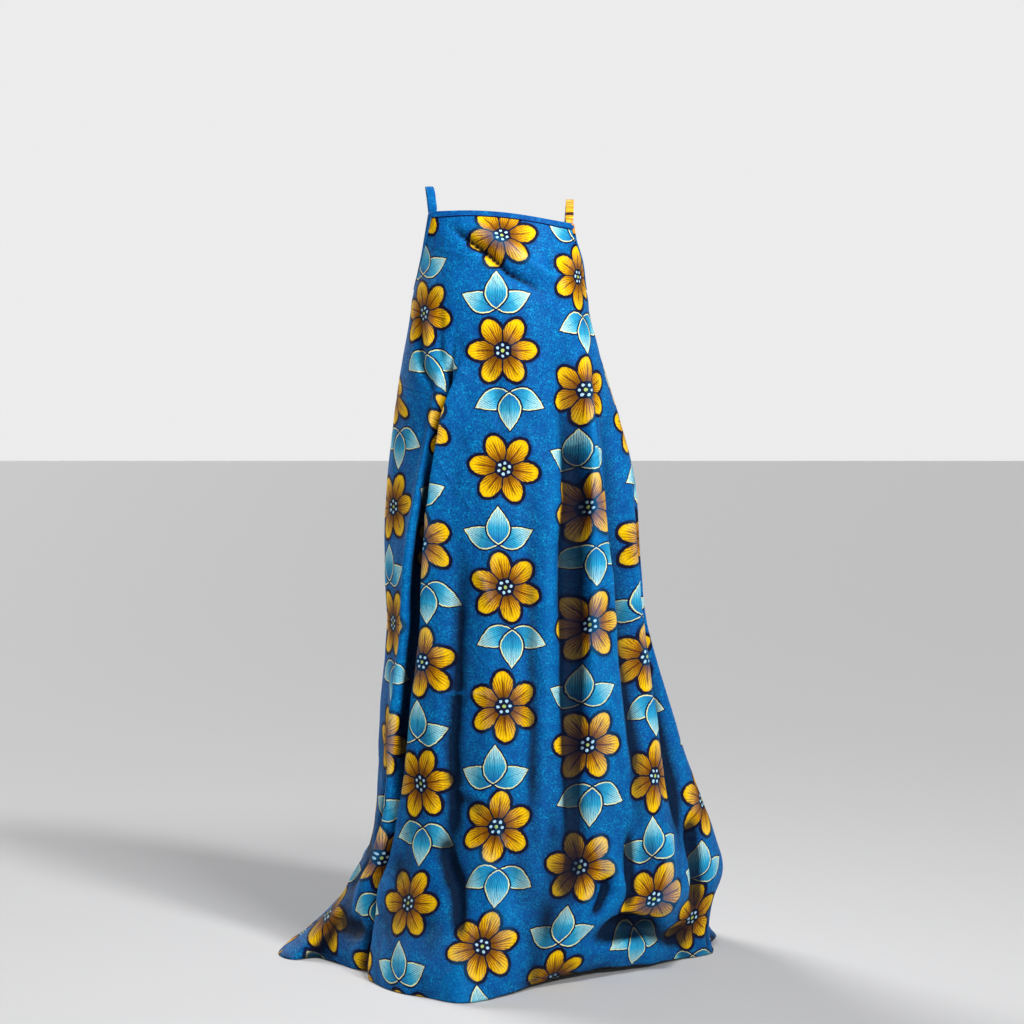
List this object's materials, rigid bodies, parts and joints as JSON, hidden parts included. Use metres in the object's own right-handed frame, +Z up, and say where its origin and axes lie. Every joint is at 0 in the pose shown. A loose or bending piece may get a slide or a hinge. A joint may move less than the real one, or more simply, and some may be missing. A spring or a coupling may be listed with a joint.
{
  "type": "backless maxi dress",
  "caption": "Floor-length A-line sundress of printed cotton with a straight neck, narrow shoulder straps and a low open back, worn and hollow.",
  "frame": {"origin": "midway between the tops of the two shoulder straps, where the shoulders hold the dress", "axes": "+Z up, -Y towards the front of the dress, +X towards the wearer's left side"},
  "size_m": [0.8293, 0.8179, 1.428],
  "materials": {
    "printed_cotton": "plain-woven cotton with a slight wax sheen, blossoms and leaf sprays on mottled blue",
    "bound_edge": "the same cotton, mottled blue, folded and stitched",
    "printed_strap": "the same cotton, where an ochre petal falls on the strap"
  },
  "bodies": {
    "root": {"front_panel": "printed_cotton", "back_panel": "printed_cotton", "neck_binding": "bound_edge", "armhole_binding_left": "bound_edge", "armhole_binding_right": "bound_edge", "back_binding": "bound_edge", "strap_left": "bound_edge", "strap_right": "printed_strap"}
  },
  "joints": []
}
